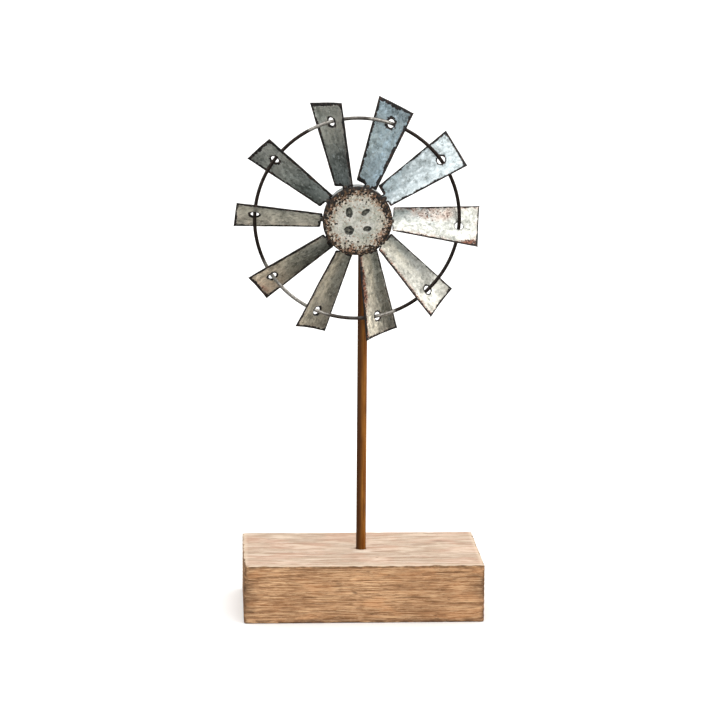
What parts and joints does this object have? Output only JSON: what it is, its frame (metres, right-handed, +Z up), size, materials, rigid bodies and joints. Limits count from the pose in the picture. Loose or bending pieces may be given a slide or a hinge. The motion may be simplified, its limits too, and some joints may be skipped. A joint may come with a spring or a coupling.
{
  "type": "tabletop garden windmill",
  "caption": "Rustic windmill ornament: a spinning galvanised wheel of pitched blades with a wire ring, on a slim rod mast in a rectangular timber block.",
  "frame": {"origin": "centre of the timber block's underside", "axes": "+Z up along the mast, -Y towards the front of the wheel, +X to the right of someone facing the wheel"},
  "size_m": [0.16, 0.089, 0.335],
  "materials": {
    "timber": "rough sawn, thin whitewash on top",
    "mast_paint": "semi-gloss rust-brown paint",
    "galvanised_sheet": "spangled galvanised, darkened edges",
    "cap_patina": "dull galvanised with a rusted rim",
    "drum_steel": "dull galvanised",
    "ring_wire": "dark browned steel wire",
    "axle_steel": "browned steel",
    "zinc_hardware": "bright zinc plated",
    "weld_metal": "dark weld bead"
  },
  "bodies": {
    "stand": {"base_block": "timber", "mast_rod": "mast_paint", "mast_washer": "zinc_hardware", "mast_nut": "zinc_hardware", "axle_pin": "axle_steel", "axle_weld": "weld_metal", "axle_collar": "axle_steel", "rear_washer": "zinc_hardware", "front_washer": "zinc_hardware", "push_nut": "zinc_hardware"},
    "wheel": {"hub_drum": "drum_steel", "hub_sleeve": "zinc_hardware", "hub_bracket": "drum_steel", "hub_cap": "cap_patina", "wire_ring": "ring_wire", "blade_welds": "weld_metal", "ring_welds": "weld_metal", "blade_01": "galvanised_sheet", "blade_02": "galvanised_sheet", "blade_03": "galvanised_sheet", "blade_04": "galvanised_sheet", "blade_05": "galvanised_sheet", "blade_06": "galvanised_sheet", "blade_07": "galvanised_sheet", "blade_08": "galvanised_sheet", "blade_09": "galvanised_sheet", "blade_10": "galvanised_sheet"}
  },
  "joints": [
    {"name": "wheel_spin", "type": "hinge", "parent": "stand", "child": "wheel", "pos_m": [-0.00517, -0.024, 0.2572], "axis": [0, -0.9945, -0.1045], "continuous": true}
  ]
}
